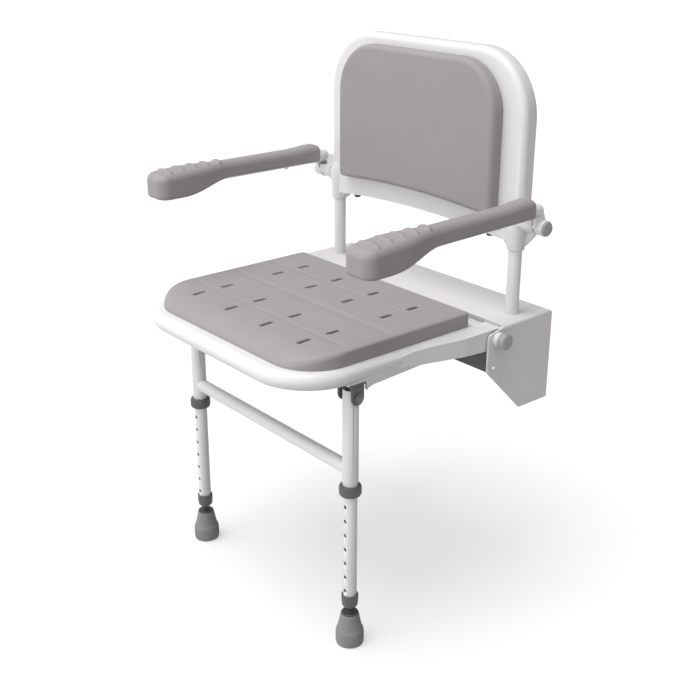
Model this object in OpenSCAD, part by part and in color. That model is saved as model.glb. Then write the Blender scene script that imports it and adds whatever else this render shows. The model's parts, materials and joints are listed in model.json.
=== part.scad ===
// Wall-mounted fold-up shower seat with padded seat and back, fold-up arms and two front legs.
// X runs to the right as seen by someone facing the wall, Y points into the wall, Z is up.
// The origin is the centre of the four wall fixing holes, on the wall's surface.

/* [Seat] */
// Height of the seat pad's top above the floor
seat_height = 509; // [484:25:559]
// Width of the seat moulding over its rolled rim
seat_w = 455; // [430:1:456]
// Distance from the wall to the seat's front edge
seat_reach = 506; // [490:1:520]
// Radius of the seat's front corners
seat_corner_r = 100; // [80:1:110]
// Thickness of the seat pad
seat_pad_t = 25; // [18:1:30]

/* [Back] */
// Width of the back moulding
back_w = 460; // [450:1:462]
// Height of the back moulding's top above the floor at the standard seat height
back_rise = 488; // [450:1:500]
// Radius of the back moulding's top corners
back_corner_r = 105; // [80:1:120]
// Angle that the back leans towards the wall
back_lean = 0.4; // [0:0.1:1.5]
// Thickness of the back pad
back_pad_t = 23; // [14:1:23]

/* [Arms] */
// Distance between the centre lines of the two arms
arm_spacing = 521; // [519:1:524]
// Distance from the wall to an arm's front end
arm_reach = 431; // [400:1:440]
// Width of an arm pad's broad front part
arm_front_w = 59; // [50:1:60]

/* [Wall bracket] */
// Outside width over the two cheeks
bracket_w = 508; // [508:1:516]
// Thickness of the bracket's sheet steel
sheet = 3; // [2.5:0.5:3]
// Distance between the wall fixing holes, sideways
fixing_x = 400; // [360:5:410]
// Distance between the wall fixing holes, up and down
fixing_z = 100; // [80:5:110]
// Diameter of a wall fixing hole
fixing_d = 9; // [7:0.5:10]

/* [Legs] */
// Distance between the two legs
leg_spacing = 414; // [404:1:414]
// Outer diameter of the upper leg tube
upper_leg_d = 25; // [25:0.1:25.4]
// Outer diameter of the inner leg tube
inner_leg_d = 22; // [21:0.5:22]
// Distance between two height holes
hole_pitch = 25; // [25:1:25]

/* [Hidden] */
$fn = 64;

// Heights measured from the wall fixings
pad_top = 94;
floor_z = pad_top - seat_height;
rim_top = pad_top - seat_pad_t + 2;
rim_h = 28;
rim_bottom = rim_top - rim_h;
pad_rear = -149;
plate_top = 74;
bracket_bottom = -79;
cheek_front_z = 3;

// Seat pivot
seat_pivot_y = -130;
seat_pivot_z = 57;
seat_tail_r = 20;
seat_arm_out = 248;
seat_arm_in = 222;
seat_pin_r = 6;
seat_bush_r = 8;
seat_collar_len = 10;
skirt_z = 36;

// Bracket
cheek_out = bracket_w / 2;
cheek_in = cheek_out - sheet;
cheek_depth = 149;
plate_depth = 113;
bend_r = 4;
stop_y = -147;
stop_h = 33.7;
stop_flange = 25;
stop_screw_y = -136;
stop_screw_z = 10;
m5_r = 2.5;

// Uprights and back
upright_x = 217.5;
upright_y = -57.5;
upright_r = 11;
upright_wall = 2;
upright_bottom = 30;
upright_top = 246;
back_front = -68.5;
back_rear = -42;
back_skin = 3.5;
back_bottom = 194;
back_arch = 11;
back_rim_w = 16;
back_rim_r = 10;
back_screw_x = 164;
back_screw_y = -60;
socket_bottom = 181;
socket_r = 14.5;
back_half = back_w / 2;
arch_chord = upright_x - socket_r;
arch_r = (arch_chord * arch_chord + back_arch * back_arch) / (2 * back_arch);

// Back pad
back_pad_half = 185;
back_pad_bottom = 232.5;
back_pad_top = 470.5;
back_pad_r = 82;
back_pad_foot_r = 6;
back_pad_arch = 8;

// Arms
arm_x = arm_spacing / 2;
arm_pivot_y = upright_y;
arm_pivot_z = 227;
arm_pin_r = 6;
arm_boss_r = 12.5;
arm_boss_out = 258.5;
arm_hub_in = 262.5;
arm_hub_out = 277;
arm_hub_r = 12.5;
arm_tube_r = 11;
arm_tube_z = 253;
arm_tube_rear = -54;
arm_pad_rear = -80;
arm_pad_under = 246;
arm_pad_top = 275;
arm_slim_w = 32;
arm_waist_y = -286;
arm_broad_y = -366;
arm_broad_under = 226;
ridge_pitch = 26;
ridge_first_y = -301;
ridge_r = 10;
arm_droop = [0, 1.2];
arm_screw_y = [-150, -340];

// Legs
leg_x = leg_spacing / 2;
leg_y = -391;
leg_pin_z = 20;
leg_pin_r = 4;
upper_r = upper_leg_d / 2;
inner_r = inner_leg_d / 2;
upper_bore = inner_r + 0.35;
inner_bore = inner_r - 1.6;
upper_bottom = -143;
collar_bottom = -146;
collar_top = -128;
collar_r = 17.6;
cross_z = -102.5;
cross_r = 11;
button_z = -140;
button_r = 3;
button_tip = 17.2;
notch_r = 3.4;
hinge_ear = 4;
hinge_gap = upper_r + 0.7;

// Feet, measured up from the floor
inner_leg_foot = 73;
inner_leg_len = 305;
plug_low = 69.5;
plug_high = 91;
plug_r = 13.5;
foot_h = 55;
foot_r = 22.8;
foot_top_r = 14.8;
stem_r = 4;
flange_r = 13.6;

// ---- helpers ----

// Turn a drawing in (x, y) so that it stands in the X-Z plane and is drawn from y0 to y1
module upright_slab(y0, y1) {
    translate([0, y1, 0])
        rotate([90, 0, 0])
            linear_extrude(y1 - y0)
                children();
}

// Turn a drawing in (y, z) into a slab from x0 to x1
module side_slab(x0, x1) {
    translate([x0, 0, 0])
        rotate([90, 0, 90])
            linear_extrude(x1 - x0)
                children();
}

// A round bar along X from x0 to x1
module x_bar(r, x0, x1, y, z) {
    translate([min(x0, x1), y, z])
        rotate([0, 90, 0])
            cylinder(r = r, h = abs(x1 - x0));
}

// A bar along Z
module z_bar(r, x, y, z0, z1) {
    translate([x, y, z0])
        cylinder(r = r, h = z1 - z0);
}

// Outline of a slab with rounded front corners: straight at y_rear, rounded at y_front
module tongue(half, y_front, y_rear, r) {
    translate([-half, y_front + r])
        square([2 * half, y_rear - y_front - r]);
    translate([-half + r, y_front])
        square([2 * (half - r), r + 1]);
    for (s = [-1, 1])
        translate([s * (half - r), y_front + r])
            circle(r);
}

// A lying slot, long in Y
module slot_shape(len, w) {
    square([w, len - w], center = true);
    for (s = [-1, 1])
        translate([0, s * (len - w) / 2])
            circle(w / 2);
}

// Plan of the seat pad, or of the recess it lies in when it is grown
module seat_pad_outline(grow) {
    tongue(seat_w / 2 - 14.5 + grow, -seat_reach + 25 - grow, pad_rear + grow, seat_corner_r - 25, $fn = 128);
}

module at_slots() {
    for (x = [-140, -46.7, 46.7, 140])
        for (y = [-424, -368.5, -261.5, -205.5])
            translate([x, y])
                children();
}

// ---- wall bracket ----

module cheek_shape() {
    polygon([[0, plate_top], [-plate_depth + 4, plate_top], [-cheek_depth + 6, plate_top - 7],
             [-cheek_depth + 2, plate_top - 9], [-cheek_depth, plate_top - 14],
             [-cheek_depth, cheek_front_z], [-68, bracket_bottom], [0, bracket_bottom]]);
}

module rounded_top_shape(half, top, bottom, r) {
    translate([-half, bottom])
        square([2 * half, top - bottom - r]);
    translate([-half + r, bottom])
        square([2 * (half - r), top - bottom]);
    for (s = [-1, 1])
        translate([s * (half - r), top - r])
            circle(r);
}

module wall_bracket() color([0.86, 0.87, 0.87]) difference() {
    union() {
        intersection() {
            upright_slab(-cheek_depth, 0)
                difference() {
                    rounded_top_shape(cheek_out, plate_top, bracket_bottom, bend_r);
                    rounded_top_shape(cheek_in, plate_top - sheet, bracket_bottom - 1, bend_r - sheet);
                }
            union() {
                side_slab(-cheek_out, -cheek_in + 3)
                    cheek_shape();
                side_slab(cheek_in - 3, cheek_out)
                    cheek_shape();
                translate([-cheek_in, -plate_depth, plate_top - 10])
                    cube([2 * cheek_in, plate_depth, 10]);
            }
        }
        upright_slab(-sheet, 0)
            rounded_top_shape(cheek_out, plate_top, bracket_bottom, bend_r);
    }
    for (sx = [-1, 1])
        for (sz = [-1, 1])
            translate([sx * fixing_x / 2, 0, sz * fixing_z / 2])
                rotate([90, 0, 0])
                    cylinder(d = fixing_d, h = 20, center = true);
    for (s = [-1, 1]) {
        z_bar(upright_r + 0.1, s * upright_x, upright_y, 50, 90);
        x_bar(seat_pin_r + 0.05, s * 240, s * 260, seat_pivot_y, seat_pivot_z);
        x_bar(m5_r + 0.1, s * 240, s * 260, stop_screw_y, stop_screw_z);
    }
}

module stop_bar() color([0.3, 0.3, 0.3]) difference() {
    half = cheek_in - 0.2;
    union() {
        translate([-half, stop_y, cheek_front_z])
            cube([2 * half, sheet, stop_h]);
        translate([-half, stop_y, cheek_front_z + stop_h - sheet])
            cube([2 * half, stop_flange, sheet]);
        for (s = [-1, 1])
            translate([s * (half - sheet / 2) - sheet / 2, stop_y, cheek_front_z])
                cube([sheet, stop_flange, stop_h]);
    }
    for (s = [-1, 1])
        x_bar(m5_r + 0.1, s * 240, s * 260, stop_screw_y, stop_screw_z);
}

module stop_bar_screws() color([0.75, 0.75, 0.76])
    for (s = [-1, 1]) {
        x_bar(m5_r, s * 242, s * (cheek_out + 1), stop_screw_y, stop_screw_z);
        translate([s * cheek_out, stop_screw_y, stop_screw_z])
            rotate([0, s * 90, 0])
                rotate_extrude()
                    polygon([[0, 0], [3.8, 0], [3.8, 0.7], [2.8, 1.8], [0, 2.1]]);
        translate([s * (cheek_in - sheet - 0.2), stop_screw_y, stop_screw_z])
            rotate([0, -s * 90, 0])
                cylinder(r = 4.6, h = 4, $fn = 6);
    }

module upright(s) color("white") difference() {
    z_bar(upright_r, s * upright_x, upright_y, upright_bottom, upright_top);
    z_bar(upright_r - upright_wall, s * upright_x, upright_y, upright_bottom - 1, upright_top + 1);
}

// ---- back ----

// Section of the back's rolled rim: x is outwards, y is towards the sitter
module back_rim_shape() {
    depth = back_rear - back_front;
    r = back_rim_r;
    difference() {
        union() {
            translate([-back_rim_w, 0])
                square([back_rim_w, depth - r]);
            translate([-back_rim_w, 0])
                square([back_rim_w - r, depth]);
            translate([-r, depth - r])
                circle(r);
        }
        translate([-back_rim_w - 1, -1])
            square([back_rim_w + 1 - back_skin, depth - r + 1]);
        translate([-r, depth - r])
            circle(r - back_skin);
    }
}

module back_rim_side(s) {
    translate([s * back_half, back_rear, back_bottom])
        mirror([s < 0 ? 1 : 0, 0, 0])
            linear_extrude(back_rise - back_bottom - back_corner_r)
                mirror([0, 1])
                    back_rim_shape();
}

module back_rim_top() {
    translate([-back_half + back_corner_r, back_rear, back_rise])
        rotate([0, 90, 0])
            linear_extrude(2 * (back_half - back_corner_r))
                rotate(180)
                    back_rim_shape();
}

module back_rim_corner(s) {
    translate([s * (back_half - back_corner_r), back_rear, back_rise - back_corner_r])
        mirror([s < 0 ? 1 : 0, 0, 0])
            rotate([90, 0, 0])
                rotate_extrude(angle = 90, $fn = 128)
                    translate([back_corner_r, 0])
                        back_rim_shape();
}

module back_outline(inset) {
    half = back_half - inset;
    top = back_rise - inset;
    r = back_corner_r - inset;
    difference() {
        rounded_top_shape(half, top, back_bottom, r, $fn = 128);
        translate([0, back_bottom + back_arch - arch_r])
            circle(arch_r, $fn = 720);
    }
}

// Lower edge of the back: a lip that follows the arch
module back_lip() {
    intersection() {
        upright_slab(back_front + 1, back_rear)
            difference() {
                back_outline(2);
                translate([0, back_bottom + back_arch - arch_r])
                    circle(arch_r + back_skin, $fn = 720);
            }
        translate([-back_half, back_front, back_bottom - 1])
            cube([2 * back_half, 60, 30]);
    }
}

module back_socket(s) {
    x = s * upright_x;
    translate([x, upright_y, 0])
        rotate_extrude()
            polygon([[0, socket_bottom], [socket_r - 1, socket_bottom], [socket_r, socket_bottom + 1],
                     [socket_r, socket_bottom + 14], [socket_r + 1, socket_bottom + 28],
                     [socket_r + 1, 236], [socket_r - 3, 248], [0, 252]]);
}

module arm_boss(s) {
    x_bar(arm_boss_r, s * upright_x, s * arm_boss_out, arm_pivot_y, arm_pivot_z);
    mirror([s < 0 ? 1 : 0, 0, 0]) {
        upright_slab(arm_pivot_y + 5, arm_pivot_y + 12)
            polygon([[upright_x, socket_bottom + 6], [upright_x + 12, socket_bottom + 6],
                     [arm_boss_out, arm_pivot_z - 8], [arm_boss_out, arm_pivot_z], [upright_x, arm_pivot_z]]);
        translate([232, arm_pivot_y - 14, arm_pivot_z - 2])
            cube([arm_boss_out - 232, 14, 13.5]);
        translate([224, arm_pivot_y - 8, 236])
            cube([19.5, 16, 23]);
        upright_slab(back_front + 5, back_rear - 4)
            polygon([[188, back_bottom + 6], [197, back_bottom - 2], [204, back_bottom - 10],
                     [208, back_bottom - 10], [208, back_bottom + 6]]);
    }
}

// Lean the back towards the wall about its lower front edge
module leaning_back() {
    translate([0, back_front, back_bottom])
        rotate([-back_lean, 0, 0])
            translate([0, -back_front, -back_bottom])
                children();
}

module back_shell() color("white") difference() {
    union() {
        for (s = [-1, 1]) {
            back_socket(s);
            arm_boss(s);
        }
        leaning_back() {
            upright_slab(back_front, back_front + back_skin)
                back_outline(back_rim_r);
            for (s = [-1, 1]) {
                back_rim_side(s);
                back_rim_corner(s);
            }
            back_rim_top();
            back_lip();
            for (x = [-120, -40, 40, 120])
                upright_slab(back_front + 2, back_rear - 4)
                    intersection() {
                        translate([x - 1.5, back_bottom])
                            square([3, back_rise - back_bottom]);
                        back_outline(6);
                    }
            for (z = [280, 350, 420])
                upright_slab(back_front + 2, back_rear - 6)
                    intersection() {
                        translate([-back_half, z - 1.5])
                            square([2 * back_half, 3]);
                        back_outline(6);
                    }
        }
    }
    for (s = [-1, 1]) {
        z_bar(upright_r + 0.1, s * upright_x, upright_y, socket_bottom - 1, upright_top);
        x_bar(arm_pin_r + 0.05, s * (upright_x + upright_r + 2.2), s * 270, arm_pivot_y, arm_pivot_z);
        z_bar(m5_r + 0.1, s * back_screw_x, back_screw_y, back_bottom - 10, back_bottom + 28);
    }
}

module back_pad() color([0.63, 0.6, 0.59])
    leaning_back()
        upright_slab(back_front - back_pad_t, back_front - 0.1) difference() {
            union() {
                rounded_top_shape(back_pad_half, back_pad_top, back_pad_bottom + back_pad_foot_r,
                                  back_pad_r, $fn = 128);
                translate([-back_pad_half + back_pad_foot_r, back_pad_bottom])
                    square([2 * (back_pad_half - back_pad_foot_r), back_pad_foot_r + 1]);
                for (s = [-1, 1])
                    translate([s * (back_pad_half - back_pad_foot_r), back_pad_bottom + back_pad_foot_r])
                        circle(back_pad_foot_r);
            }
            pad_arch_r = (160 * 160 + back_pad_arch * back_pad_arch) / (2 * back_pad_arch);
            translate([0, back_pad_bottom + back_pad_arch - pad_arch_r])
                circle(pad_arch_r, $fn = 720);
        }

module back_screws() color([0.25, 0.25, 0.25])
    for (s = [-1, 1]) {
        z_bar(m5_r, s * back_screw_x, back_screw_y, back_bottom, back_bottom + 26);
        translate([s * back_screw_x, back_screw_y, back_bottom + 3.1])
            rotate([180, 0, 0])
                rotate_extrude()
                    polygon([[0, 0], [6, 0], [6, 3.4], [4.8, 4.8], [0, 5.4]]);
    }

// ---- arms ----

module arm_pin(s) color([0.72, 0.72, 0.73])
    x_bar(arm_pin_r, s * (upright_x + upright_r + 2.4), s * (arm_hub_out - 0.5), arm_pivot_y, arm_pivot_z);

module arm_washer(s) color([0.8, 0.8, 0.8]) difference() {
    x_bar(13.5, s * (arm_boss_out + 0.3), s * (arm_hub_in - 0.4), arm_pivot_y, arm_pivot_z);
    x_bar(arm_pin_r + 0.05, s * 250, s * 270, arm_pivot_y, arm_pivot_z);
}

// The right arm hangs a little lower than the left one
module drooping(s) {
    translate([0, arm_pivot_y, arm_pivot_z])
        rotate([arm_droop[s < 0 ? 0 : 1], 0, 0])
            translate([0, -arm_pivot_y, -arm_pivot_z])
                children();
}

module arm_frame(s) color("white") drooping(s) difference() {
    union() {
        x_bar(arm_hub_r, s * arm_hub_in, s * arm_hub_out, arm_pivot_y, arm_pivot_z);
        mirror([s < 0 ? 1 : 0, 0, 0])
            side_slab(arm_hub_in, arm_hub_in + 6)
                polygon([[arm_pivot_y - 12.4, arm_pivot_z], [arm_pivot_y + 12.4, arm_pivot_z],
                         [arm_tube_rear - 2, arm_tube_z], [arm_pivot_y - 20, arm_tube_z]]);
        translate([s * arm_x, -arm_reach + 24, arm_tube_z])
            rotate([-90, 0, 0])
                rotate_extrude()
                    polygon([[0, 0], [arm_tube_r, 0], [arm_tube_r, arm_reach - 24 + arm_tube_rear - 6],
                             [arm_tube_r - 2, arm_reach - 24 + arm_tube_rear - 2],
                             [arm_tube_r - 6, arm_reach - 24 + arm_tube_rear], [0, arm_reach - 24 + arm_tube_rear]]);
    }
    translate([s * arm_x, -arm_reach + 23, arm_tube_z])
        rotate([-90, 0, 0])
            cylinder(r = arm_tube_r - 2, h = 330);
    x_bar(arm_pin_r + 0.08, s * 250, s * 290, arm_pivot_y, arm_pivot_z);
    for (y = arm_screw_y)
        z_bar(2.1, s * arm_x, y, arm_tube_z - 20, arm_tube_z + 20);
}

module arm_pad_plan() {
    slim = arm_slim_w / 2;
    broad = arm_front_w / 2;
    polygon([[-slim, arm_pad_rear], [-slim, arm_waist_y], [-slim - 3, arm_waist_y - 24],
             [-broad + 1, arm_broad_y], [-broad, -arm_reach + 22], [-broad + 7, -arm_reach + 6],
             [-broad + 20, -arm_reach], [broad - 20, -arm_reach], [broad - 7, -arm_reach + 6],
             [broad, -arm_reach + 22], [broad - 1, arm_broad_y], [slim + 3, arm_waist_y - 24],
             [slim, arm_waist_y], [slim, arm_pad_rear]]);
}

module arm_pad_side() {
    polygon([[arm_pad_rear, arm_pad_under], [arm_waist_y, arm_pad_under],
             [arm_broad_y, arm_broad_under], [-arm_reach + 16, arm_broad_under],
             [-arm_reach, arm_broad_under + 10], [-arm_reach, arm_pad_top - 16],
             [-arm_reach + 12, arm_pad_top - 4], [-arm_reach + 30, arm_pad_top],
             [-140, arm_pad_top], [arm_pad_rear - 20, arm_pad_top + 3],
             [arm_pad_rear - 8, arm_pad_top + 3], [arm_pad_rear, arm_pad_top - 5]]);
}

module arm_pad(s) color([0.62, 0.59, 0.58]) drooping(s) difference() {
    union() {
        intersection() {
            translate([s * arm_x, 0, arm_broad_under - 5])
                linear_extrude(70)
                    arm_pad_plan();
            side_slab(s * arm_x - 40, s * arm_x + 40)
                arm_pad_side();
        }
        for (i = [0:4])
            x_bar(ridge_r, s * arm_x - 11 - 1.8 * i, s * arm_x + 11 + 1.8 * i,
                  ridge_first_y - i * ridge_pitch, arm_pad_top - ridge_r + 4);
    }
    translate([s * arm_x, -arm_reach + 22, arm_tube_z])
        rotate([-90, 0, 0])
            cylinder(r = arm_tube_r + 0.05, h = arm_reach);
    for (y = arm_screw_y) {
        z_bar(2.1, s * arm_x, y, 220, arm_pad_top - 6);
        z_bar(6, s * arm_x, y, 220, arm_tube_z - 4);
    }
}

module arm_cap(s) color([0.6, 0.58, 0.57])
    translate([s * arm_hub_out, arm_pivot_y, arm_pivot_z])
        rotate([0, s * 90, 0])
            rotate_extrude()
                polygon([[0, 0], [11.6, 0], [11.6, 2], [10.6, 3.2], [8, 3.8], [0, 4]]);

module arm_screws(s) color([0.7, 0.7, 0.7]) drooping(s)
    for (y = arm_screw_y)
        translate([s * arm_x, y, arm_tube_z - arm_tube_r]) {
            cylinder(r = 2, h = arm_pad_top - 7 - arm_tube_z + arm_tube_r);
            rotate([180, 0, 0])
                rotate_extrude()
                    polygon([[0, 0], [4, 0], [3.7, 1.4], [2.4, 2.2], [0, 2.4]]);
        }

// ---- seat ----

// Section of the seat's rolled rim: x is outwards, y is up from the rim's underside
module seat_rim_shape() {
    r = rim_h / 2;
    wall = 4;
    difference() {
        union() {
            translate([-r, r])
                circle(r);
            translate([-30, rim_h - 8])
                square([30 - r, 8]);
            translate([-r - 4, 0])
                square([4, rim_h]);
        }
        translate([-r, r])
            circle(r - wall);
        translate([-40, -1])
            square([40 - r, rim_h - 7]);
    }
}

module seat_rim() {
    half = seat_w / 2;
    side_len = seat_reach - seat_corner_r - 150;
    for (s = [-1, 1]) {
        translate([s * half, -150, rim_bottom])
            mirror([s < 0 ? 1 : 0, 0, 0])
                rotate([90, 0, 0])
                    linear_extrude(side_len)
                        seat_rim_shape();
        translate([s * (half - seat_corner_r), -seat_reach + seat_corner_r, rim_bottom])
            mirror([s < 0 ? 1 : 0, 0, 0])
                rotate([0, 0, -90])
                    rotate_extrude(angle = 90, $fn = 128)
                        translate([seat_corner_r, 0])
                            seat_rim_shape();
    }
    translate([-half + seat_corner_r, -seat_reach, rim_bottom])
        rotate([90, 0, 90])
            linear_extrude(2 * (half - seat_corner_r))
                mirror([1, 0])
                    seat_rim_shape();
}

module seat_rear_arm(s) {
    half = seat_w / 2;
    mirror([s < 0 ? 1 : 0, 0, 0])
        intersection() {
            translate([0, 0, rim_bottom - 20])
                linear_extrude(60)
                    polygon([[seat_arm_in - 8, -108], [seat_arm_out, -108], [seat_arm_out, -195],
                             [seat_arm_out - 4, -222], [half + 8, -262], [half - 1, -310],
                             [half - 6, -310], [half - 10, -200], [seat_arm_in - 8, -180]]);
            side_slab(200, 260)
                union() {
                    intersection() {
                        translate([seat_pivot_y, seat_pivot_z])
                            circle(seat_tail_r);
                        translate([seat_pivot_y - seat_tail_r, 0])
                            square([2 * seat_tail_r, rim_top]);
                    }
                    polygon([[seat_pivot_y, rim_top], [seat_pivot_y, seat_pivot_z - seat_tail_r],
                             [-165, rim_bottom - 3.5], [-220, rim_bottom], [-320, rim_bottom + 3],
                             [-320, rim_top - 9], [-290, rim_top - 3], [-250, rim_top]]);
                }
        }
}

// Thick patch that carries a leg hinge, with the deeper side that runs back from it
module hinge_patch(s) {
    mirror([s < 0 ? 1 : 0, 0, 0]) {
        translate([188, leg_y - 18, rim_bottom])
            cube([35, 40, rim_h - 4]);
        side_slab(seat_w / 2 - 7.3, seat_w / 2 - 1.5)
            polygon([[leg_y + 16, 59], [leg_y + 16, 30], [leg_y + 19, 32.8], [leg_y + 24, 34.8],
                     [leg_y + 30, 35.8], [leg_y + 35, 36], [leg_y + 35, 59]]);
        side_slab(seat_w / 2 - 14.3, seat_w / 2 - 1.2)
            polygon([[leg_y + 34, 60], [leg_y + 34, skirt_z], [-290, skirt_z + 3.5], [-223, skirt_z + 7.5],
                     [-215, 60]]);
    }
}

module seat_shell() color("white") difference() {
    union() {
        seat_rim();
        for (s = [-1, 1]) {
            seat_rear_arm(s);
            hinge_patch(s);
        }
        translate([0, 0, rim_top - 8])
            linear_extrude(6)
                tongue(seat_w / 2 - 12, -seat_reach + 12, -124, seat_corner_r - 12, $fn = 128);
        translate([-seat_arm_in + 7, -128, rim_top - 20])
            cube([2 * seat_arm_in - 14, 4, 20]);
        for (x = [-165, -93, 0, 93, 165])
            translate([x - 1.5, -seat_reach + 20, rim_top - 20])
                cube([3, seat_reach - 146, 14]);
        for (y = [-455, -396, -315, -233, -170])
            translate([-seat_w / 2 + 20, y, rim_top - 20])
                cube([seat_w - 40, 3, 14]);
    }
    for (s = [-1, 1])
        x_bar(seat_bush_r + 0.05, s * 200, s * 260, seat_pivot_y, seat_pivot_z);
    translate([0, 0, rim_top - 12])
        linear_extrude(20)
            at_slots()
                slot_shape(26, 8);
    translate([0, 0, rim_top - 2])
        linear_extrude(10)
            seat_pad_outline(0.3);
}

module seat_pad() color([0.63, 0.6, 0.59]) difference() {
    intersection() {
        translate([0, 0, rim_top - 2])
            linear_extrude(seat_pad_t)
                seat_pad_outline(0);
        side_slab(-220, 220)
            polygon([[pad_rear, rim_top - 2], [pad_rear, pad_top - 2], [pad_rear - 3, pad_top], [-400, pad_top],
                     [-440, pad_top - 2], [-462, pad_top - 6], [-474, pad_top - 11],
                     [-482, pad_top - 18], [-482, rim_top - 2]]);
    }
    translate([0, 0, rim_top - 10])
        linear_extrude(50)
            at_slots()
                slot_shape(24, 6.5);
}

module seat_pad_screws() color([0.7, 0.7, 0.7])
    for (x = [-120, 120])
        for (y = [-440, -190])
            z_bar(4.5, x, y, rim_top - 10.6, rim_top - 8.1);

module seat_bush(s) color([0.3, 0.3, 0.3]) difference() {
    union() {
        x_bar(seat_bush_r, s * (seat_arm_in - 6), s * (seat_arm_out + 0.5), seat_pivot_y, seat_pivot_z);
        x_bar(12, s * (seat_arm_out + 0.1), s * (cheek_in - 0.5), seat_pivot_y, seat_pivot_z);
    }
    x_bar(seat_pin_r + 0.08, s * 200, s * 260, seat_pivot_y, seat_pivot_z);
}

module seat_pin(s) color([0.72, 0.72, 0.73])
    x_bar(seat_pin_r, s * (seat_arm_in - 4), s * (cheek_out + seat_collar_len - 0.5), seat_pivot_y, seat_pivot_z);

module seat_pin_collar(s) color("white") difference() {
    x_bar(11.5, s * cheek_out, s * (cheek_out + seat_collar_len), seat_pivot_y, seat_pivot_z);
    x_bar(seat_pin_r + 0.05, s * 250, s * 270, seat_pivot_y, seat_pivot_z);
}

module seat_pin_cap(s) color([0.6, 0.58, 0.57])
    translate([s * (cheek_out + seat_collar_len), seat_pivot_y, seat_pivot_z])
        rotate([0, s * 90, 0])
            rotate_extrude()
                polygon([[0, 0], [12.2, 0], [12.9, 0.8], [12.9, 9.5], [12, 11.6], [9.5, 13], [0, 13.6]]);

// ---- legs ----

module leg_hinge(s) color([0.25, 0.25, 0.24]) difference() {
    union() {
        translate([s * leg_x - 17.2, leg_y - 15, rim_bottom - 3])
            cube([34.4, 30, 3]);
        for (e = [-1, 1])
            side_slab(s * leg_x + e * (hinge_gap + hinge_ear / 2) - hinge_ear / 2,
                      s * leg_x + e * (hinge_gap + hinge_ear / 2) + hinge_ear / 2)
                union() {
                    translate([leg_y - 11.5, leg_pin_z])
                        square([23, rim_bottom - 2 - leg_pin_z]);
                    translate([leg_y, leg_pin_z])
                        circle(11.5);
                }
    }
    x_bar(leg_pin_r + 0.05, s * leg_x - 30, s * leg_x + 30, leg_y, leg_pin_z);
}

module leg_pin(s) color([0.45, 0.45, 0.45]) {
    ear_out = hinge_gap + hinge_ear;
    x_bar(leg_pin_r, s * leg_x - ear_out - 3, s * leg_x + ear_out + 3, leg_y, leg_pin_z);
    translate([s * (leg_x + ear_out), leg_y, leg_pin_z])
        rotate([0, s * 90, 0])
            rotate_extrude()
                polygon([[0, 0], [7.6, 0], [7.6, 1.6], [4.8, 1.7], [4.2, 3.8], [0, 3.9]]);
    translate([s * (leg_x - ear_out), leg_y, leg_pin_z])
        rotate([0, -s * 90, 0])
            cylinder(r = 6.8, h = 4, $fn = 6);
}

module button_notch(s) {
    translate([s * leg_x, leg_y, button_z])
        rotate([-90, 0, 0])
            cylinder(r = notch_r, h = 30);
    translate([s * leg_x - notch_r, leg_y, button_z - 20])
        cube([2 * notch_r, 30, 20]);
}

module leg_frame() color("white") difference() {
    union() {
        for (s = [-1, 1])
            z_bar(upper_r, s * leg_x, leg_y, upper_bottom, leg_pin_z + 11);
        x_bar(cross_r, -leg_x, leg_x, leg_y, cross_z);
    }
    for (s = [-1, 1]) {
        z_bar(upper_bore, s * leg_x, leg_y, upper_bottom - 1, leg_pin_z + 12);
        x_bar(leg_pin_r + 0.08, s * leg_x - 20, s * leg_x + 20, leg_y, leg_pin_z);
        button_notch(s);
    }
    x_bar(cross_r - 2, -leg_x + upper_r - 1, leg_x - upper_r + 1, leg_y, cross_z);
}

module leg_collar(s) color([0.3, 0.3, 0.3]) difference() {
    translate([s * leg_x, leg_y, collar_bottom])
        rotate_extrude()
            polygon([[upper_bore, 0], [collar_r - 3, 0], [collar_r - 1, 1], [collar_r, 4],
                     [collar_r, 13], [collar_r - 0.8, 16], [collar_r - 2.6, collar_top - collar_bottom],
                     [upper_r + 0.05, collar_top - collar_bottom],
                     [upper_r + 0.05, upper_bottom - collar_bottom - 0.05],
                     [upper_bore, upper_bottom - collar_bottom - 0.05]]);
    button_notch(s);
}

module inner_leg(s) color("white") {
    low = floor_z + inner_leg_foot;
    difference() {
        z_bar(inner_r, s * leg_x, leg_y, low, low + inner_leg_len);
        z_bar(inner_bore, s * leg_x, leg_y, low - 1, low + inner_leg_len + 1);
        for (i = [0:9])
            translate([s * leg_x, leg_y, button_z + (i - 7) * hole_pitch])
                rotate([90, 0, 0])
                    cylinder(r = button_r + 0.08, h = 40, center = true);
    }
}

// Spring button: the button and the flat spring that it is riveted to
module leg_button(s) color([0.75, 0.75, 0.76])
    translate([s * leg_x, leg_y, button_z]) {
        rotate([-90, 0, 0])
            rotate_extrude()
                polygon([[0, 6], [button_r, 6], [button_r, button_tip - 1.4],
                         [button_r - 0.9, button_tip - 0.3], [0, button_tip]]);
        translate([-3.5, 5, -8])
            cube([7, 1, 30]);
    }

module end_plug(s) color([0.3, 0.3, 0.3]) difference() {
    translate([s * leg_x, leg_y, floor_z])
        rotate_extrude()
            polygon([[0, plug_low], [plug_r - 2.5, plug_low], [plug_r - 1, plug_low + 2],
                     [plug_r, plug_low + 12], [plug_r, plug_high - 1], [plug_r - 0.8, plug_high],
                     [0, plug_high]]);
    difference() {
        z_bar(inner_r + 0.05, s * leg_x, leg_y, floor_z + inner_leg_foot - 0.1, floor_z + 120);
        z_bar(inner_bore - 0.1, s * leg_x, leg_y, floor_z + inner_leg_foot - 1, floor_z + plug_high);
    }
    z_bar(stem_r + 0.08, s * leg_x, leg_y, floor_z + 40, floor_z + 120);
}

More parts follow.
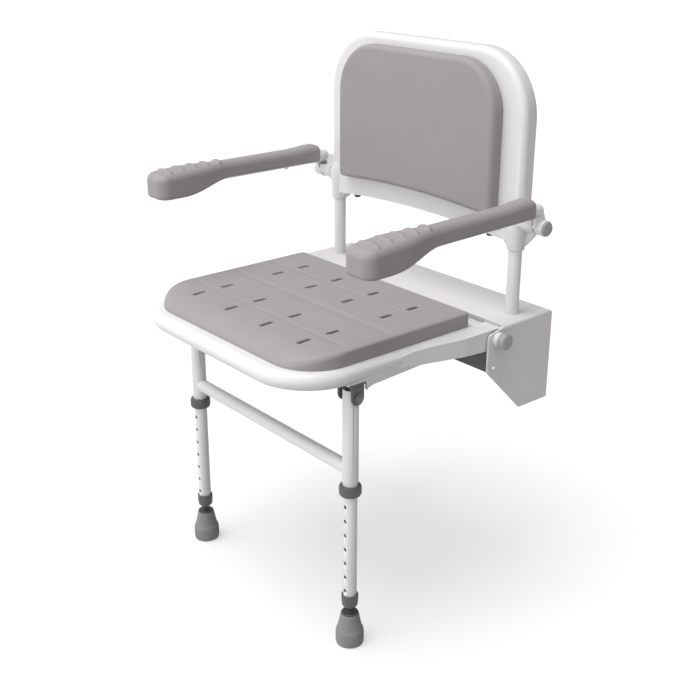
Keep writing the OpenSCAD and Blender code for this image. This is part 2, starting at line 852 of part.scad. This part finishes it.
module foot_stem(s) color([0.2, 0.2, 0.2])
    translate([s * leg_x, leg_y, floor_z]) {
        translate([0, 0, 31])
            cylinder(r = stem_r, h = 70);
        translate([0, 0, foot_h + 0.3])
            rotate_extrude()
                polygon([[0, 0], [flange_r, 0], [flange_r, 1.6], [flange_r - 1.2, 2.8], [7, 3.2],
                         [6.2, 5], [0, 5]]);
    }

module rubber_foot(s) color([0.5, 0.48, 0.47]) difference() {
    translate([s * leg_x, leg_y, floor_z])
        rotate_extrude()
            polygon([[0, 0], [foot_r - 3, 0], [foot_r - 1, 1.4], [foot_r, 6], [foot_r - 0.2, 22],
                     [foot_r - 1, 26], [foot_r - 2.6, 28.5], [foot_top_r + 2.4, 41],
                     [foot_top_r + 0.6, foot_h - 4], [foot_top_r, foot_h - 1],
                     [foot_top_r - 1, foot_h], [0, foot_h]]);
    z_bar(12, s * leg_x, leg_y, floor_z - 1, floor_z + 3);
    z_bar(stem_r + 0.08, s * leg_x, leg_y, floor_z + 30.5, floor_z + 65);
}

wall_bracket();
stop_bar();
stop_bar_screws();
upright(-1);  // upright_left
upright(1);  // upright_right
back_shell();
back_pad();
back_screws();
arm_pin(-1);  // arm_pin_left
arm_pin(1);  // arm_pin_right
arm_washer(-1);  // arm_washer_left
arm_washer(1);  // arm_washer_right
seat_pin(-1);  // seat_pin_left
seat_pin(1);  // seat_pin_right
seat_pin_collar(-1);  // seat_pin_collar_left
seat_pin_collar(1);  // seat_pin_collar_right
seat_pin_cap(-1);  // seat_pin_cap_left
seat_pin_cap(1);  // seat_pin_cap_right
arm_frame(-1);  // arm_frame_left
arm_frame(1);  // arm_frame_right
arm_pad(-1);  // arm_pad_left
arm_pad(1);  // arm_pad_right
arm_cap(-1);  // arm_cap_left
arm_cap(1);  // arm_cap_right
arm_screws(-1);  // arm_screws_left
arm_screws(1);  // arm_screws_right
seat_shell();
seat_pad();
seat_pad_screws();
seat_bush(-1);  // seat_bush_left
seat_bush(1);  // seat_bush_right
leg_hinge(-1);  // leg_hinge_left
leg_hinge(1);  // leg_hinge_right
leg_pin(-1);  // leg_pin_left
leg_pin(1);  // leg_pin_right
leg_frame();
leg_collar(-1);  // leg_collar_left
leg_collar(1);  // leg_collar_right
inner_leg(-1);  // inner_leg_left
inner_leg(1);  // inner_leg_right
leg_button(-1);  // leg_button_left
leg_button(1);  // leg_button_right
end_plug(-1);  // end_plug_left
end_plug(1);  // end_plug_right
foot_stem(-1);  // foot_stem_left
foot_stem(1);  // foot_stem_right
rubber_foot(-1);  // rubber_foot_left
rubber_foot(1);  // rubber_foot_right
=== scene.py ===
"""Looks of the fold-up shower seat: moulded foam pads, powder-coated steel and moulded shells.

Lengths are in millimetres inside the shape functions and in metres in Blender.
"""
import json
import math

import bpy
import numpy as np
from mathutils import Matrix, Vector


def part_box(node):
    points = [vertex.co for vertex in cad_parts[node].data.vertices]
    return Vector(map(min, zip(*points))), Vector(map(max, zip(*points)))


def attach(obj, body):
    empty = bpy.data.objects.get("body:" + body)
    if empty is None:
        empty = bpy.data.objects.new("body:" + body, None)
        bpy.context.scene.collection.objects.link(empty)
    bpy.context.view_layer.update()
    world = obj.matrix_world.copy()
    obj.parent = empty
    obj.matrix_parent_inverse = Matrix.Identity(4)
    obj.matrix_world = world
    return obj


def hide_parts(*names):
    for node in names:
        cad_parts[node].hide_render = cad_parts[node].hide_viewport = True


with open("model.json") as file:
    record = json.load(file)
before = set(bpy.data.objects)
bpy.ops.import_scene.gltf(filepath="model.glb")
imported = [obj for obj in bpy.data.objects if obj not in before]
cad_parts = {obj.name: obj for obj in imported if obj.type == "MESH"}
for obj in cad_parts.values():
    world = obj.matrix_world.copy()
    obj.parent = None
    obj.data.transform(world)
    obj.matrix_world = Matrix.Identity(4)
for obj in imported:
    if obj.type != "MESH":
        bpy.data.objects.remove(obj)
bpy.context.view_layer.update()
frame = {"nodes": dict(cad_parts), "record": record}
nodes = frame["nodes"]
MM = 0.001

# ---- camera, light and floor ----

CAMERA_AT = (1.3367, -1.3543, 0.6942)
CAMERA_TURN = (68.49, 0.0, 50.24)
CAMERA_LENS = 58.93
SENSOR = 36.0
FLOOR_SIZE = 60.0
FLOOR_GLOW = 0.44
ROOM_BRIGHT_SIDE = (-0.38, -0.85, 0.37)
ROOM_DARK = 0.0
ROOM_LIGHT = 1.3
KEY_WAY = (0.03, 0.16, -0.50)
KEY_STRENGTH = 1.65
KEY_SPREAD = 38
ROOM_COLOUR = (1.0, 0.992, 0.994, 1.0)


def camera():
    data = bpy.data.cameras.new("camera")
    data.lens = CAMERA_LENS
    data.sensor_width = SENSOR
    data.sensor_fit = "HORIZONTAL"
    obj = bpy.data.objects.new("camera", data)
    obj.location = CAMERA_AT
    obj.rotation_euler = [math.radians(a) for a in CAMERA_TURN]
    bpy.context.scene.collection.objects.link(obj)
    bpy.context.scene.camera = obj


def sun(name, direction, strength, spread, colour=(1.0, 1.0, 1.0)):
    """A soft distant lamp that shines along direction."""
    data = bpy.data.lights.new(name, "SUN")
    data.energy = strength
    data.angle = math.radians(spread)
    data.color = colour
    obj = bpy.data.objects.new(name, data)
    d = np.array(direction, float)
    d /= np.linalg.norm(d)
    obj.rotation_euler = (math.acos(-d[2]), 0.0, math.atan2(-d[0], d[1]))
    bpy.context.scene.collection.objects.link(obj)


def studio():
    """A pale room that is brightest in front, and one soft lamp from above."""
    world = bpy.data.worlds.new("studio")
    world.use_nodes = True
    tree = world.node_tree
    background = tree.nodes["Background"]
    background.inputs["Color"].default_value = ROOM_COLOUR
    way = tree.nodes.new("ShaderNodeTexCoord").outputs["Generated"]
    toward = tree.nodes.new("ShaderNodeVectorMath")
    toward.operation = "DOT_PRODUCT"
    toward.inputs[1].default_value = ROOM_BRIGHT_SIDE
    glow = tree.nodes.new("ShaderNodeMapRange")
    glow.inputs["From Min"].default_value = -1.0
    glow.inputs["To Min"].default_value = ROOM_DARK
    glow.inputs["To Max"].default_value = ROOM_LIGHT
    tree.links.new(way, toward.inputs[0])
    tree.links.new(toward.outputs["Value"], glow.inputs["Value"])
    tree.links.new(glow.outputs["Result"], background.inputs["Strength"])
    bpy.context.scene.world = world
    bpy.context.scene.view_settings.view_transform = "Standard"
    sun("key", KEY_WAY, KEY_STRENGTH, KEY_SPREAD)


def floor():
    low_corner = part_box("rubber_foot_left")[0]
    half = FLOOR_SIZE / 2
    mesh = bpy.data.meshes.new("floor")
    corners = [(-half, -half), (half, -half), (half, half), (-half, half)]
    mesh.from_pydata([(x, y, low_corner.z) for x, y in corners], [], [(0, 1, 2, 3)])
    obj = bpy.data.objects.new("floor", mesh)
    bpy.context.scene.collection.objects.link(obj)
    material = finish("floor", (0.50, 0.50, 0.50), (0.51, 0.51, 0.51), (0.85, 0.95), 3, 0, 0)
    shader = material.node_tree.nodes["Principled BSDF"]
    shader.inputs["Emission Color"].default_value = (1.0, 1.0, 1.0, 1.0)
    shader.inputs["Emission Strength"].default_value = FLOOR_GLOW
    mesh.materials.append(material)
    obj.visible_diffuse = False


# ---- materials ----

COAT_ROUGHNESS = 0.12
TONE_SPREAD = (0.3, 0.7)

def finish(name, dark, light, rough, patch, grain, depth, metallic=0.0, coat=0.0, specular=0.5,
           cells=False, stretch=(1, 1, 1)):
    """A procedural finish: patchy tone, patchy gloss and a grain that stands up from the surface.

    patch and grain are sizes as repeats per metre, depth is the grain's height in millimetres.
    """
    material = bpy.data.materials.new(name)
    material.use_nodes = True
    tree = material.node_tree
    shader = tree.nodes["Principled BSDF"]
    shader.inputs["Metallic"].default_value = metallic
    shader.inputs["Coat Weight"].default_value = coat
    shader.inputs["Coat Roughness"].default_value = COAT_ROUGHNESS
    shader.inputs["Specular IOR Level"].default_value = specular

    place = tree.nodes.new("ShaderNodeTexCoord").outputs["Object"]
    mapping = tree.nodes.new("ShaderNodeMapping")
    mapping.inputs["Scale"].default_value = stretch
    tree.links.new(place, mapping.inputs["Vector"])

    def noise(scale, detail=3.0):
        node = tree.nodes.new("ShaderNodeTexNoise")
        node.inputs["Scale"].default_value = scale
        node.inputs["Detail"].default_value = detail
        tree.links.new(mapping.outputs["Vector"], node.inputs["Vector"])
        return node.outputs["Fac"]

    ramp = tree.nodes.new("ShaderNodeValToRGB")
    for stop, at, tone in zip(ramp.color_ramp.elements, TONE_SPREAD, (dark, light)):
        stop.position = at
        stop.color = (*tone, 1.0)
    tree.links.new(noise(patch), ramp.inputs["Fac"])
    tree.links.new(ramp.outputs["Color"], shader.inputs["Base Color"])

    gloss = tree.nodes.new("ShaderNodeMapRange")
    gloss.inputs["To Min"].default_value = rough[0]
    gloss.inputs["To Max"].default_value = rough[1]
    tree.links.new(noise(patch * 2.7, 5.0), gloss.inputs["Value"])
    tree.links.new(gloss.outputs["Result"], shader.inputs["Roughness"])

    if depth:
        if cells:
            texture = tree.nodes.new("ShaderNodeTexVoronoi")
            texture.feature = "SMOOTH_F1"
            texture.inputs["Scale"].default_value = grain
            tree.links.new(mapping.outputs["Vector"], texture.inputs["Vector"])
            height = texture.outputs["Distance"]
        else:
            height = noise(grain, 2.0)
        bump = tree.nodes.new("ShaderNodeBump")
        bump.inputs["Strength"].default_value = 1.0
        bump.inputs["Distance"].default_value = depth * MM
        tree.links.new(height, bump.inputs["Height"])
        tree.links.new(bump.outputs["Normal"], shader.inputs["Normal"])
    return material


def grey(level, warm=0.0, cool=0.0):
    """A grey with a little more red, or a little more blue, than green."""
    return (level * (1 + warm), level, level * (1 + warm * 0.25 + cool))


def finishes():
    """One finish for each material slot in the record."""
    return {
        "bracket_steel": finish("bracket_steel", grey(0.665, 0.02), grey(0.695, 0.02), (0.38, 0.50),
                                18, 1400, 0.03),
        # Near-black steel for the stop bar between the bracket cheeks under the seat: its dark colour is
        # painted shade where the bracket's grey steel lies in shadow.
        "dark_steel": finish("dark_steel", grey(0.045), grey(0.07), (0.42, 0.55), 25, 1400, 0.03),
        "zinc_steel": finish("zinc_steel", grey(0.55), grey(0.70), (0.25, 0.42), 180, 900, 0.02,
                             metallic=1.0),
        "bright_steel": finish("bright_steel", grey(0.60), grey(0.72), (0.18, 0.30), 140, 700, 0.01,
                               metallic=1.0, stretch=(0.2, 1, 1)),
        "white_tube": finish("white_tube", grey(0.73, 0, 0.012), grey(0.765, 0, 0.012), (0.26, 0.36),
                             14, 650, 0.02, coat=0.15),
        "white_moulding": finish("white_moulding", grey(0.71, 0, 0.008), grey(0.735, 0, 0.008), (0.30, 0.40),
                                 9, 420, 0.02),
        "grey_pad": finish("grey_pad", grey(0.290, 0.075), grey(0.300, 0.075), (0.46, 0.60), 16, 620, 0.10,
                           cells=True, specular=0.3),
        "grey_arm_pad": finish("grey_arm_pad", grey(0.290, 0.075), grey(0.302, 0.075), (0.42, 0.56), 20, 700,
                               0.07, cells=True, specular=0.3),
        "grey_cap": finish("grey_cap", grey(0.33, 0.03), grey(0.36, 0.03), (0.45, 0.58), 60, 900, 0.03),
        "black_screw": finish("black_screw", grey(0.035), grey(0.05), (0.35, 0.5), 150, 900, 0.02),
        "dark_plastic": finish("dark_plastic", grey(0.085), grey(0.105), (0.42, 0.55), 60, 1100, 0.04),
        "dark_bolt": finish("dark_bolt", grey(0.12), grey(0.17), (0.30, 0.45), 200, 900, 0.02, metallic=0.8),
        "black_stem": finish("black_stem", grey(0.04), grey(0.06), (0.35, 0.5), 120, 800, 0.05,
                             stretch=(0.05, 0.05, 1)),
        "grey_rubber": finish("grey_rubber", grey(0.205, 0.035), grey(0.235, 0.035), (0.55, 0.72),
                              40, 800, 0.06, cells=True, specular=0.35),
    }


# ---- shapes as fields: negative inside, positive outside, in millimetres ----

PULL_STEPS = 5
PROBE = 0.1
MIN_SLOPE_SQUARED = 0.25
GRID_MARGIN = 2.5

def cut(a, b, r):
    """Where both fields are negative, with the edge between them rounded to radius r."""
    return np.minimum(np.maximum(a, b), -r) + np.hypot(np.maximum(a + r, 0), np.maximum(b + r, 0))


def join(a, b, r):
    """Where either field is negative, with a fillet of radius r between them."""
    return -cut(-a, -b, r)


def ease(t):
    """0 to 1 with level ends."""
    t = np.clip(t, 0, 1)
    return t * t * (3 - 2 * t)


def box_field(u, v, half_u, half_v, r):
    """A flat box with corners of radius r, which may differ from point to point."""
    qu = np.abs(u) - half_u + r
    qv = np.abs(v) - half_v + r
    return np.minimum(np.maximum(qu, qv), 0) + np.hypot(np.maximum(qu, 0), np.maximum(qv, 0)) - r


def skin(name, field, low, high, step, node, body, slot):
    """Make the surface where field is zero into a mesh, and let it stand for a CAD node."""
    low = np.array(low, float) - GRID_MARGIN * step
    high = np.array(high, float) + GRID_MARGIN * step
    axes = [np.arange(a, b, step) for a, b in zip(low, high)]
    grid = np.stack(np.meshgrid(*axes, indexing="ij"), -1)
    value = field(*grid.reshape(-1, 3).T).reshape(grid.shape[:3])
    cells = tuple(n - 1 for n in value.shape)
    total = np.zeros(cells + (3,))
    count = np.zeros(cells)
    crossings = []
    for axis in range(3):
        other = [(axis + 1) % 3, (axis + 2) % 3]
        start = [slice(None)] * 3
        end = [slice(None)] * 3
        start[axis] = slice(None, -1)
        end[axis] = slice(1, None)
        a, b = value[tuple(start)], value[tuple(end)]
        cross = (a < 0) != (b < 0)
        point = grid[tuple(start)].copy()
        point[..., axis] += np.where(cross, a / np.where(cross, a - b, 1), 0) * step
        point *= cross[..., None]
        for i in (0, 1):
            for j in (0, 1):
                part = [slice(None)] * 3
                part[other[0]] = slice(i, i + cells[other[0]])
                part[other[1]] = slice(j, j + cells[other[1]])
                total += point[tuple(part)]
                count += cross[tuple(part)]
        crossings.append((axis, other, np.argwhere(cross), a[cross] < 0))
    used = count > 0
    number = np.full(cells, -1)
    number[used] = np.arange(used.sum())
    verts = total[used] / count[used][:, None]
    faces = []
    for axis, other, at, outward in crossings:
        ring = []
        for i, j in ((-1, -1), (0, -1), (0, 0), (-1, 0)):
            cell = at.copy()
            cell[:, other[0]] += i
            cell[:, other[1]] += j
            ring.append(number[tuple(cell.T)])
        quad = np.stack(ring, 1)
        faces.append(np.where(outward[:, None], quad, quad[:, ::-1]))
    faces = np.concatenate(faces)
    for _ in range(PULL_STEPS):
        here = field(*verts.T)
        slope = np.stack([(field(*(verts + d).T) - field(*(verts - d).T)) / (2 * PROBE)
                          for d in np.eye(3) * PROBE], 1)
        move = here[:, None] * slope / np.maximum((slope ** 2).sum(1), MIN_SLOPE_SQUARED)[:, None]
        verts -= np.clip(move, -step / 2, step / 2)
    mesh = bpy.data.meshes.new(name)
    mesh.from_pydata(verts * MM, [], faces.tolist())
    mesh.polygons.foreach_set("use_smooth", np.ones(len(faces), bool))
    mesh.update()
    obj = bpy.data.objects.new(name, mesh)
    bpy.context.scene.collection.objects.link(obj)
    mesh.materials.append(looks[slot])
    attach(obj, body)
    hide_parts(node)
    return obj


def box_mm(node):
    """Lowest and highest corners of a CAD node in millimetres."""
    low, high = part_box(node)
    return np.array(low) / MM, np.array(high) / MM


# ---- seat pad ----

SLOT_X = (-140.0, -46.7, 46.7, 140.0)
SLOT_Y = (-424.0, -368.5, -261.5, -205.5)
SLOT_LEN = 25.6
SLOT_W = 7.4
GROOVES = ((-394.0, 4.5, 0.7), (-310.0, 7.5, 1.1), (-229.0, 4.5, 0.7))
GROOVE_END = 199.0
PAD_CORNER = 75.0
PAD_REAR_CORNER = 8.0
FALL_LEN = 87.0
FALL = 17.0
SEAT_EDGE_SIDE = 3.5
SEAT_EDGE_FRONT_MORE = 6.5
SEAT_GRID = 1.8
BOTTOM_EDGE = 0.6
SLOT_EDGE = 1.1


def seat_pad():
    low, high = box_mm("seat_pad")
    mid_y = (low[1] + high[1]) / 2

    def field(x, y, z):
        corner = np.where(y < mid_y, PAD_CORNER, PAD_REAR_CORNER)
        outline = box_field(x, y - mid_y, high[0], (high[1] - low[1]) / 2, corner)
        front = np.clip((low[1] + FALL_LEN - y) / FALL_LEN, 0, 1.05)
        top = high[2] - FALL * front ** 4
        for at, half, deep in GROOVES:
            along = ease((GROOVE_END + 4 - np.abs(x)) / 8)
            top = top - deep * along * (1 - ease((np.abs(y - at) - half * 0.45) / (half * 0.9)))
        pad = cut(outline, z - top, SEAT_EDGE_SIDE + SEAT_EDGE_FRONT_MORE * ease(front * 1.6))
        pad = cut(pad, low[2] + 0.1 - z, BOTTOM_EDGE)
        for sx in SLOT_X:
            for sy in SLOT_Y:
                reach = np.maximum(np.abs(y - sy) - (SLOT_LEN - SLOT_W) / 2, 0)
                pad = cut(pad, SLOT_W / 2 - np.hypot(x - sx, reach), SLOT_EDGE)
        return pad

    return skin("seat_pad_foam", field, low, high, SEAT_GRID, "seat_pad", "seat", "grey_pad")


# ---- back pad ----

BACK_LEAN = 0.4
BACK_CORNER = 82.0
BACK_FOOT_CORNER = 7.0
BACK_ARCH = 8.0
BACK_ARCH_HALF = 160.0
BACK_PAD_T = 23.0
BACK_PAD_TOP = 470.5
BACK_PAD_BOTTOM = 232.5
BACK_PAD_EDGE = 8.0
BACK_CROWN = 1.2
BACK_ARCH_EDGE = 3
BACK_GRID = 1.8
BACK_PIVOT = (-68.5, 194.0)


def back_pad():
    low, high = box_mm("back_pad")
    lean = math.radians(BACK_LEAN)
    pivot_y, pivot_z = BACK_PIVOT
    half = high[0]
    top, bottom = BACK_PAD_TOP, BACK_PAD_BOTTOM
    mid = (top + bottom) / 2
    arch_r = (BACK_ARCH_HALF ** 2 + BACK_ARCH ** 2) / (2 * BACK_ARCH)

    def field(x, y, z):
        dy, dz = y - pivot_y, z - pivot_z
        v = dy * math.cos(lean) - dz * math.sin(lean)
        w = pivot_z + dy * math.sin(lean) + dz * math.cos(lean)
        corner = np.where(w > mid, BACK_CORNER, BACK_FOOT_CORNER)
        outline = box_field(x, w - mid, half, (top - bottom) / 2, corner)
        outline = cut(outline, arch_r - np.hypot(x, w - bottom - BACK_ARCH + arch_r), BACK_ARCH_EDGE)
        crown = BACK_CROWN * ((x / half) ** 2 + ((w - mid) / (top - mid)) ** 2)
        pad = cut(outline, crown - BACK_PAD_T - v, BACK_PAD_EDGE)
        return cut(pad, v + 0.1, BOTTOM_EDGE)

    return skin("back_pad_foam", field, low, high, BACK_GRID, "back_pad", "wall_frame", "grey_pad")


# ---- arm pads ----

ARM_PIVOT = (-57.5, 227.0)
ARM_DROOP = {"left": 0.0, "right": 1.2}
ARM_FRONT = -431.0
ARM_REAR = -80.0
ARM_BELLY = 229.0
ARM_SWELL = 110.0
ARM_NOSE = 3.0
ARM_SLIM = 16.0
ARM_WAIST = -286.0
ARM_BROAD_Y = -366.0
ARM_UNDER = 246.0
ARM_TOP = 275.0
TUBE_R = 11.0
TUBE_Z = 253.0
TUBE_FRONT = 22.0
RIDGES = 5
RIDGE_FIRST = -301.0
RIDGE_PITCH = 26.0
RIDGE_HALF = (13.5, 6.6, 6.2)
RIDGE_WIDER = 2.1
RIDGE_SUNK = 2.0
ARM_END_ROUND = 19.0
ARM_REAR_ROUND = 5.0
ARM_TOP_ROUND = 12.5
ARM_UNDER_ROUND = 6.5
ARM_GRID = 1.5


def arm_nose(y):
    """How far the top of an arm pad falls towards its front end."""
    return ARM_NOSE * ease((-360 - y) / 70)


def arm_pad(side):
    low, high = box_mm("arm_pad_" + side)
    mid_x = (low[0] + high[0]) / 2
    broad = (high[0] - low[0]) / 2
    droop = math.radians(ARM_DROOP[side])
    pivot_y, pivot_z = ARM_PIVOT

    def field(x, world_y, world_z):
        dy, dz = world_y - pivot_y, world_z - pivot_z
        u = x - mid_x
        y = pivot_y + dy * math.cos(droop) + dz * math.sin(droop)
        z = pivot_z - dy * math.sin(droop) + dz * math.cos(droop)
        grow = ease((ARM_WAIST + 8 - y) / (ARM_WAIST + 8 - ARM_BROAD_Y))
        width = ARM_SLIM + (broad - ARM_SLIM) * grow
        under = ARM_UNDER + (ARM_BELLY - ARM_UNDER) * ease((ARM_WAIST + 8 - y) / ARM_SWELL)
        top = ARM_TOP + 3 * ease((y + 150) / 55) - 1.0 * grow - arm_nose(y)
        plan = cut(np.abs(u) - width, ARM_FRONT - y, ARM_END_ROUND)
        plan = cut(plan, y - ARM_REAR, ARM_REAR_ROUND)
        pad = cut(plan, z - top, ARM_TOP_ROUND)
        for i in range(RIDGES):
            at = RIDGE_FIRST - RIDGE_PITCH * i
            size = np.array([RIDGE_HALF[0] + RIDGE_WIDER * i, *RIDGE_HALF[1:]])
            away = np.stack([u, y - at, z - (ARM_TOP - RIDGE_SUNK - arm_nose(at))], -1) / size
            near = np.linalg.norm(away, axis=-1)
            ridge = near * (near - 1) / np.maximum(np.linalg.norm(away / size, axis=-1), 1e-6)
            pad = join(pad, ridge, 1.0)
        pad = cut(pad, under - z, ARM_UNDER_ROUND)
        bore = np.maximum(np.hypot(u, z - TUBE_Z) - TUBE_R - 0.05, ARM_FRONT + TUBE_FRONT - y)
        return cut(pad, -bore, 0.5)

    return skin(f"arm_pad_{side}_foam", field, low - 2, high + 2, ARM_GRID, "arm_pad_" + side, "arm_" + side,
                "grey_arm_pad")


# ---- carried-over CAD nodes ----

EDGE = {"white_moulding": 1.0, "bracket_steel": 0.5, "white_tube": 0.5, "dark_plastic": 0.7, "grey_cap": 0.5,
        "grey_rubber": 0.8}
SMALL_EDGE = 0.25
EDGE_ANGLE = 34.0


def dress(obj, slot):
    """Give a CAD node its finish, and break its sharp edges as moulding, bending and coating do."""
    for place in obj.material_slots:
        place.material = looks[slot]
    weld = obj.modifiers.new("weld", "WELD")
    weld.merge_threshold = 0.005 * MM
    bevel = obj.modifiers.new("edge", "BEVEL")
    bevel.width = EDGE.get(slot, SMALL_EDGE) * MM
    bevel.segments = 2
    bevel.limit_method = "ANGLE"
    bevel.angle_limit = math.radians(EDGE_ANGLE)
    bevel.harden_normals = True
    bevel.use_clamp_overlap = True


looks = finishes()
camera()
studio()
floor()
for sub in frame["record"]["subparts"]:
    dress(nodes[sub["node"]], sub["material_slot"])
seat_pad()
back_pad()
arm_pad("left")
arm_pad("right")
